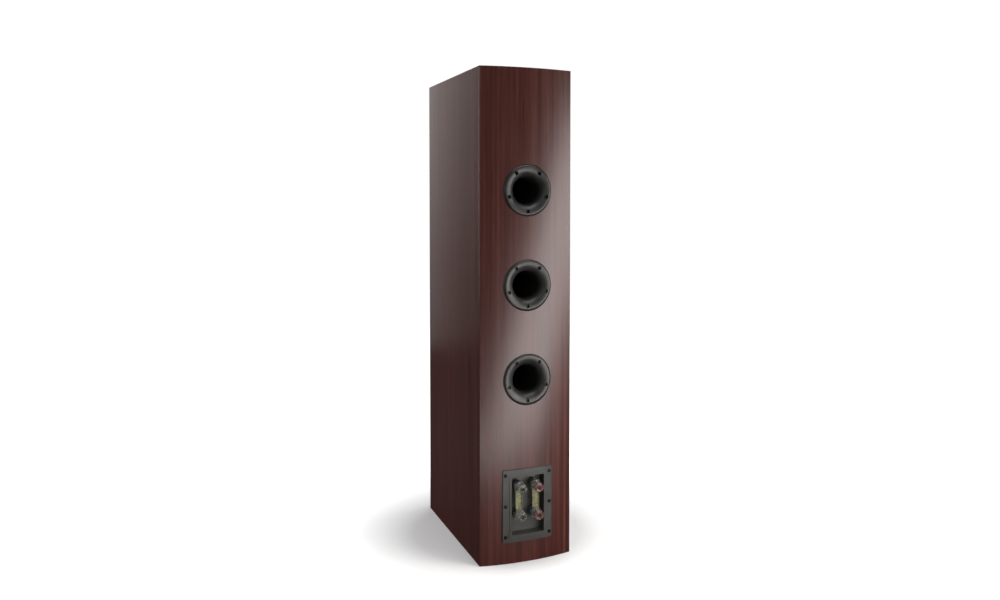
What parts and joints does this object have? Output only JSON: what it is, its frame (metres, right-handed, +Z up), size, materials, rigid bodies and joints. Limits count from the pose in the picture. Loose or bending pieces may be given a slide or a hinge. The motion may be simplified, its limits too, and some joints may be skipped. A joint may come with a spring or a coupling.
{
  "type": "floorstanding speaker",
  "caption": "Tall floorstanding speaker with a bowed rear panel, round flared rear ports, a sunken bi-wire terminal panel and a pull-off front grille.",
  "frame": {"origin": "middle of the footprint, on the floor", "axes": "+Z up, the front faces -Y and the back +Y; seen from behind, +X is to the left"},
  "size_m": [0.22, 0.432, 1.1],
  "materials": {
    "veneer": "dark red-brown veneer, satin lacquer",
    "board": "bare fibreboard",
    "felt": "wool felt",
    "plated_steel": "zinc plated",
    "black_screws": "black oxide",
    "ferrite": "matt",
    "tweeter_plate": "black, fine blasted",
    "dome": "coated cloth",
    "black_plastic": "moulded",
    "terminal_plastic": "satin moulded",
    "port_plastic": "satin moulded",
    "clear_plastic": "clear",
    "clear_red_plastic": "clear, red-tinted",
    "gold": "gold plated",
    "copper": "enamelled copper wire",
    "capacitor_film": "film",
    "cable_sheath": "soft sheath",
    "grille_board": "moulded",
    "grille_fabric": "knitted acoustic cloth",
    "cast_frame": "black, satin",
    "surround_rubber": "matt",
    "cone": "coated, pressed",
    "dust_cap": "coated",
    "spider_cloth": "resin-dipped"
  },
  "bodies": {
    "cabinet": {"bottom_panel": "veneer", "chamber_partitions": "board", "crossover_board": "board", "crossover_capacitors": "capacitor_film", "crossover_inductors": "copper", "curved_back_panel": "veneer", "damping_pads": "felt", "driver_screws": "black_screws", "front_baffle": "veneer", "internal_wiring": "cable_sheath", "jumper_negative": "gold", "jumper_positive": "gold", "left_side_panel": "veneer", "port_lower": "port_plastic", "port_middle": "port_plastic", "port_screws": "black_screws", "port_upper": "port_plastic", "post_barrels": "gold", "post_bushings": "clear_plastic", "post_nuts": "plated_steel", "right_side_panel": "veneer", "spike_inserts": "plated_steel", "terminal_plate": "terminal_plastic", "terminal_screws": "black_screws", "top_panel": "veneer", "tweeter_faceplate": "tweeter_plate", "tweeter_motor": "plated_steel", "tweeter_rear_chamber": "black_plastic", "woofer_lower_basket": "cast_frame", "woofer_lower_spider": "spider_cloth", "woofer_lower_surround": "surround_rubber", "woofer_magnets": "ferrite", "woofer_middle_basket": "cast_frame", "woofer_middle_spider": "spider_cloth", "woofer_middle_surround": "surround_rubber", "woofer_pole_yokes": "plated_steel", "woofer_top_plates": "plated_steel", "woofer_upper_basket": "cast_frame", "woofer_upper_spider": "spider_cloth", "woofer_upper_surround": "surround_rubber"},
    "grille": {"grille_cloth": "grille_fabric", "grille_frame": "grille_board"},
    "tweeter_moving": {"tweeter_dome": "dome"},
    "woofer_lower_moving": {"woofer_lower_cone": "cone", "woofer_lower_dust_cap": "dust_cap", "woofer_lower_voice_coil": "copper"},
    "woofer_middle_moving": {"woofer_middle_cone": "cone", "woofer_middle_dust_cap": "dust_cap", "woofer_middle_voice_coil": "copper"},
    "woofer_upper_moving": {"woofer_upper_cone": "cone", "woofer_upper_dust_cap": "dust_cap", "woofer_upper_voice_coil": "copper"},
    "washer_treble_positive": {"washer_treble_positive": "gold"},
    "cap_treble_positive": {"cap_treble_positive": "clear_red_plastic"},
    "washer_treble_negative": {"washer_treble_negative": "gold"},
    "cap_treble_negative": {"cap_treble_negative": "clear_plastic"},
    "washer_bass_positive": {"washer_bass_positive": "gold"},
    "cap_bass_positive": {"cap_bass_positive": "clear_red_plastic"},
    "washer_bass_negative": {"washer_bass_negative": "gold"},
    "cap_bass_negative": {"cap_bass_negative": "clear_plastic"}
  },
  "joints": [
    {"name": "grille_pull", "type": "slide", "parent": "cabinet", "child": "grille", "axis": [0, -1, 0], "range_m": [0, 0.25]},
    {"name": "woofer_lower_excursion", "type": "slide", "parent": "cabinet", "child": "woofer_lower_moving", "axis": [0, -1, 0], "range_m": [-0.005, 0.005], "stiffness_N_per_m": 1100, "deforming": ["woofer_lower_surround", "woofer_lower_spider"]},
    {"name": "woofer_middle_excursion", "type": "slide", "parent": "cabinet", "child": "woofer_middle_moving", "axis": [0, -1, 0], "range_m": [-0.005, 0.005], "stiffness_N_per_m": 1100, "deforming": ["woofer_middle_surround", "woofer_middle_spider"]},
    {"name": "woofer_upper_excursion", "type": "slide", "parent": "cabinet", "child": "woofer_upper_moving", "axis": [0, -1, 0], "range_m": [-0.005, 0.005], "stiffness_N_per_m": 1100, "deforming": ["woofer_upper_surround", "woofer_upper_spider"]},
    {"name": "tweeter_excursion", "type": "slide", "parent": "cabinet", "child": "tweeter_moving", "axis": [0, -1, 0], "range_m": [-0.0004, 0.0004], "stiffness_N_per_m": 900},
    {"name": "washer_treble_positive_travel", "type": "slide", "parent": "cabinet", "child": "washer_treble_positive", "axis": [0, 1, 0], "range_m": [0, 0.006]},
    {"name": "cap_treble_positive_turn", "type": "hinge", "parent": "washer_treble_positive", "child": "cap_treble_positive", "pos_m": [-0.02, 0.1936, 0.171], "axis": [0, 1, 0], "range_deg": [0, 2160]},
    {"name": "washer_treble_negative_travel", "type": "slide", "parent": "cabinet", "child": "washer_treble_negative", "axis": [0, 1, 0], "range_m": [0, 0.006]},
    {"name": "cap_treble_negative_turn", "type": "hinge", "parent": "washer_treble_negative", "child": "cap_treble_negative", "pos_m": [0.02, 0.1936, 0.171], "axis": [0, 1, 0], "range_deg": [0, 2160]},
    {"name": "washer_bass_positive_travel", "type": "slide", "parent": "cabinet", "child": "washer_bass_positive", "axis": [0, 1, 0], "range_m": [0, 0.006]},
    {"name": "cap_bass_positive_turn", "type": "hinge", "parent": "washer_bass_positive", "child": "cap_bass_positive", "pos_m": [-0.02, 0.1936, 0.109], "axis": [0, 1, 0], "range_deg": [0, 2160]},
    {"name": "washer_bass_negative_travel", "type": "slide", "parent": "cabinet", "child": "washer_bass_negative", "axis": [0, 1, 0], "range_m": [0, 0.006]},
    {"name": "cap_bass_negative_turn", "type": "hinge", "parent": "washer_bass_negative", "child": "cap_bass_negative", "pos_m": [0.02, 0.1936, 0.109], "axis": [0, 1, 0], "range_deg": [0, 2160]}
  ],
  "couplings": [
    {"joint": "cap_treble_positive_turn", "follows": "washer_treble_positive_travel", "rad_per_m": 6283.2},
    {"joint": "cap_treble_negative_turn", "follows": "washer_treble_negative_travel", "rad_per_m": 6283.2},
    {"joint": "cap_bass_positive_turn", "follows": "washer_bass_positive_travel", "rad_per_m": 6283.2},
    {"joint": "cap_bass_negative_turn", "follows": "washer_bass_negative_travel", "rad_per_m": 6283.2}
  ]
}
